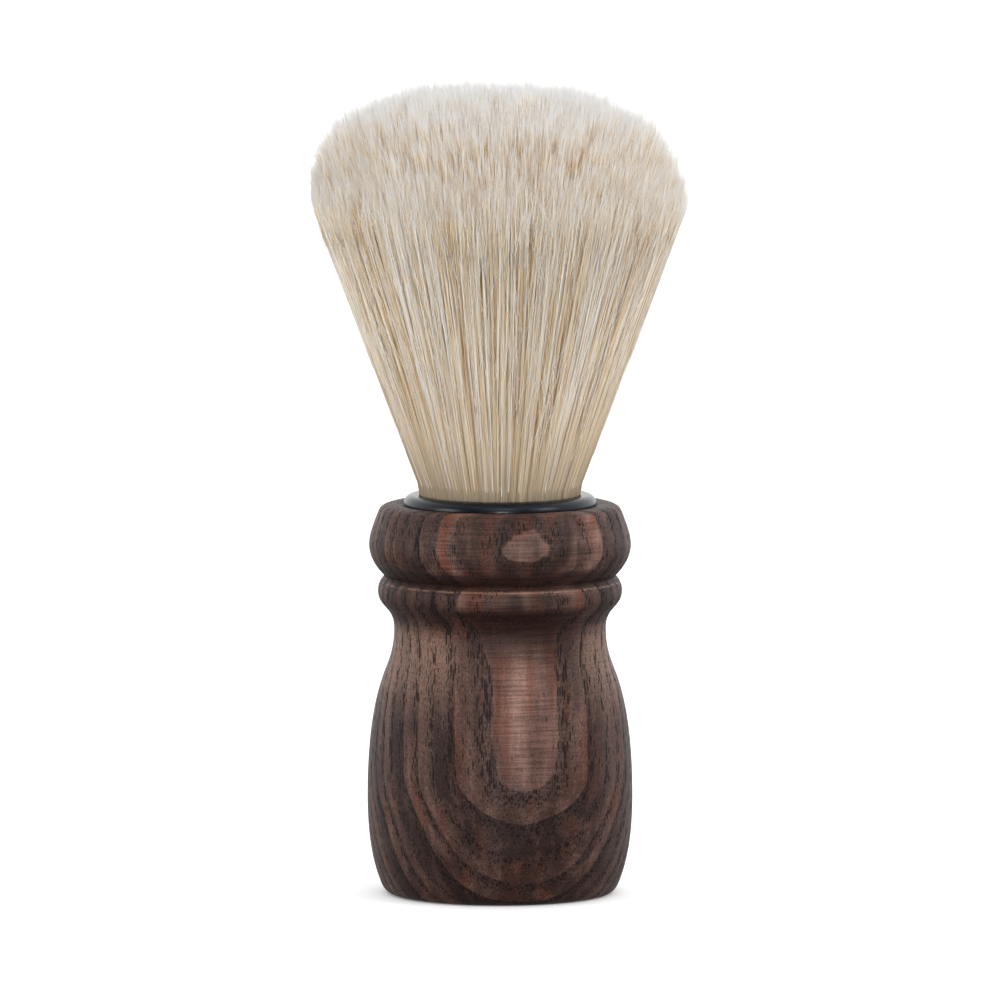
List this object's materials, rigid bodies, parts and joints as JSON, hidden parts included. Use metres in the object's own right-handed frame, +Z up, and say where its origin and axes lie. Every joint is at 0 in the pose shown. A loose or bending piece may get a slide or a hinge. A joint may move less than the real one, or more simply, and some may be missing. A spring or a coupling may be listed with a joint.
{
  "type": "shaving brush",
  "caption": "Shaving brush: turned dark wooden handle with a bead and groove, a black collar ring and a flared, dome-ended knot of pale natural bristle that bends.",
  "frame": {"origin": "centre of the flat base that the brush stands on", "axes": "+Z up along the handle's turning axis, towards the bristle tips; X and Y are alike, and the modelled bend is about Y"},
  "size_m": [0.0534, 0.0534, 0.1153],
  "materials": {
    "turned_wood": "dark-stained ash, oiled satin, open grain",
    "adhesive": "cured epoxy",
    "black_cup": "moulded black, satin gloss",
    "thread": "waxed twine",
    "resin": "cast resin",
    "bristle": "natural bleached bristle, matt, split tips"
  },
  "bodies": {
    "handle": {"handle_body": "turned_wood", "adhesive_bed": "adhesive", "knot_cup": "black_cup", "binding_thread": "thread", "resin_plug": "resin", "bristle_root": "bristle"},
    "tuft": {"bristle_tuft": "bristle"}
  },
  "joints": [
    {"name": "knot_flex", "type": "hinge", "parent": "handle", "child": "tuft", "pos_m": [0, 0, 0.058], "axis": [0, 1, 0], "range_deg": [-25, 25], "stiffness_Nm_per_rad": 0.24}
  ]
}
